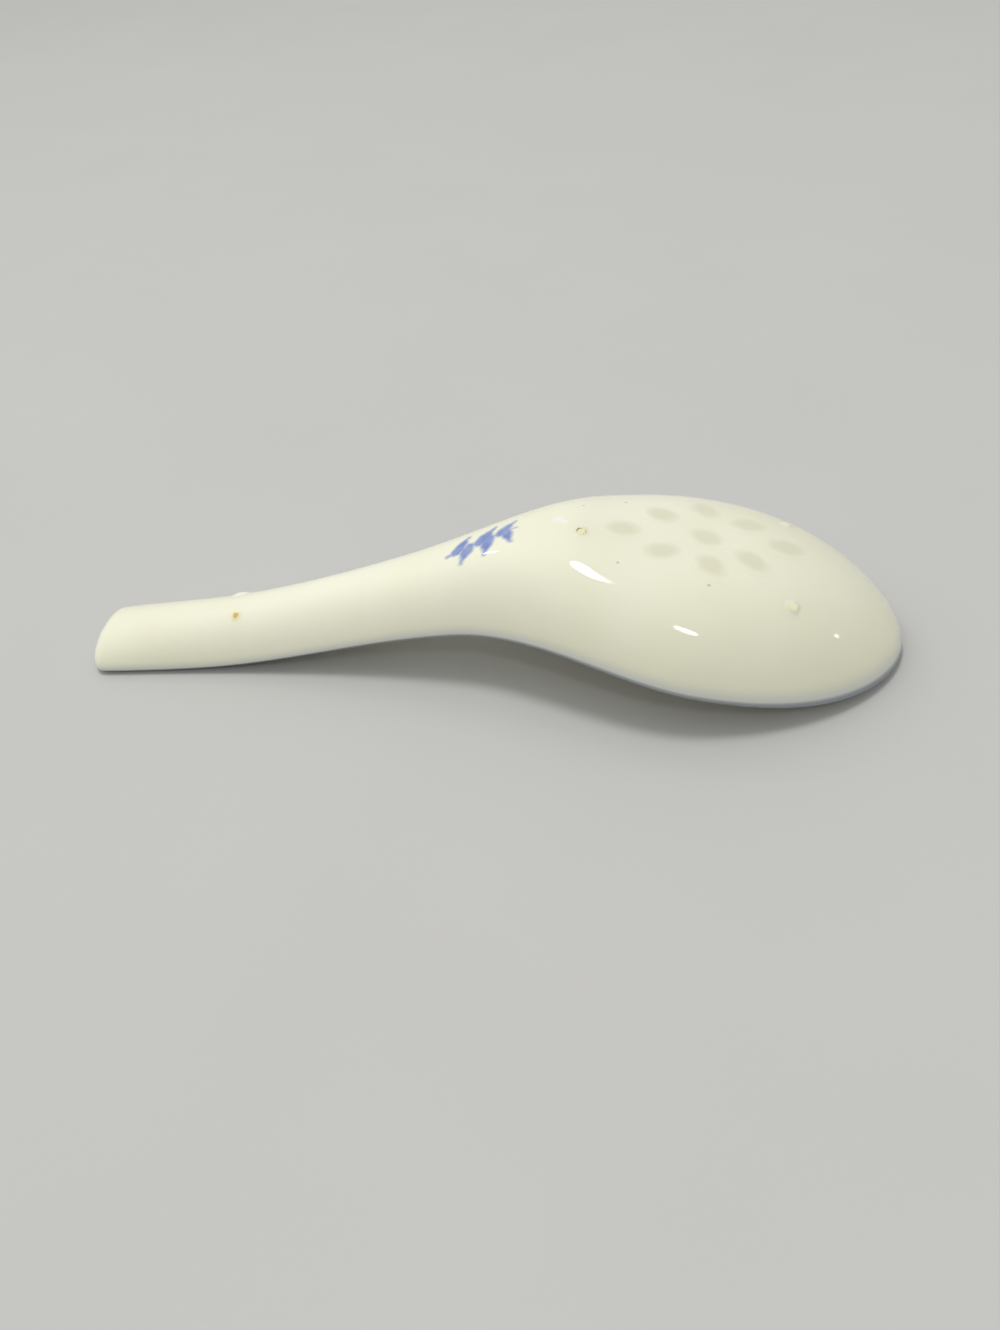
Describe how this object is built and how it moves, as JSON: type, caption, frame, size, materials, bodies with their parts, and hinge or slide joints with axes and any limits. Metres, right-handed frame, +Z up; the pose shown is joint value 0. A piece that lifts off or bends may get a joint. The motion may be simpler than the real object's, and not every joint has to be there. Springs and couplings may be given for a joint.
{
  "type": "chinese soup spoon",
  "caption": "Porcelain soup spoon with a deep flat-footed bowl, a channel handle and translucent rice-grain windows, lying face down.",
  "frame": {"origin": "centre of the spoon's outline on the surface that it lies on, face down", "axes": "+X from the handle tip to the nose of the bowl, +Z up out of the rounded back and the foot, +Y across the spoon"},
  "size_m": [0.135, 0.043, 0.0237],
  "materials": {
    "porcelain": "gloss",
    "grain_glaze": "translucent gloss",
    "kiln_grit": "matte"
  },
  "bodies": {
    "root": {"porcelain_body": "porcelain", "rice_grain_heel": "grain_glaze", "rice_grain_heel_near": "grain_glaze", "rice_grain_heel_far": "grain_glaze", "rice_grain_near": "grain_glaze", "rice_grain_middle": "grain_glaze", "rice_grain_far": "grain_glaze", "rice_grain_front_near": "grain_glaze", "rice_grain_front_far": "grain_glaze", "rice_grain_front": "grain_glaze", "kiln_spur_heel": "kiln_grit", "kiln_spur_nose_near": "kiln_grit", "kiln_spur_nose_far": "kiln_grit", "kiln_spur_handle_near": "kiln_grit", "kiln_spur_handle_far": "kiln_grit"}
  },
  "joints": []
}
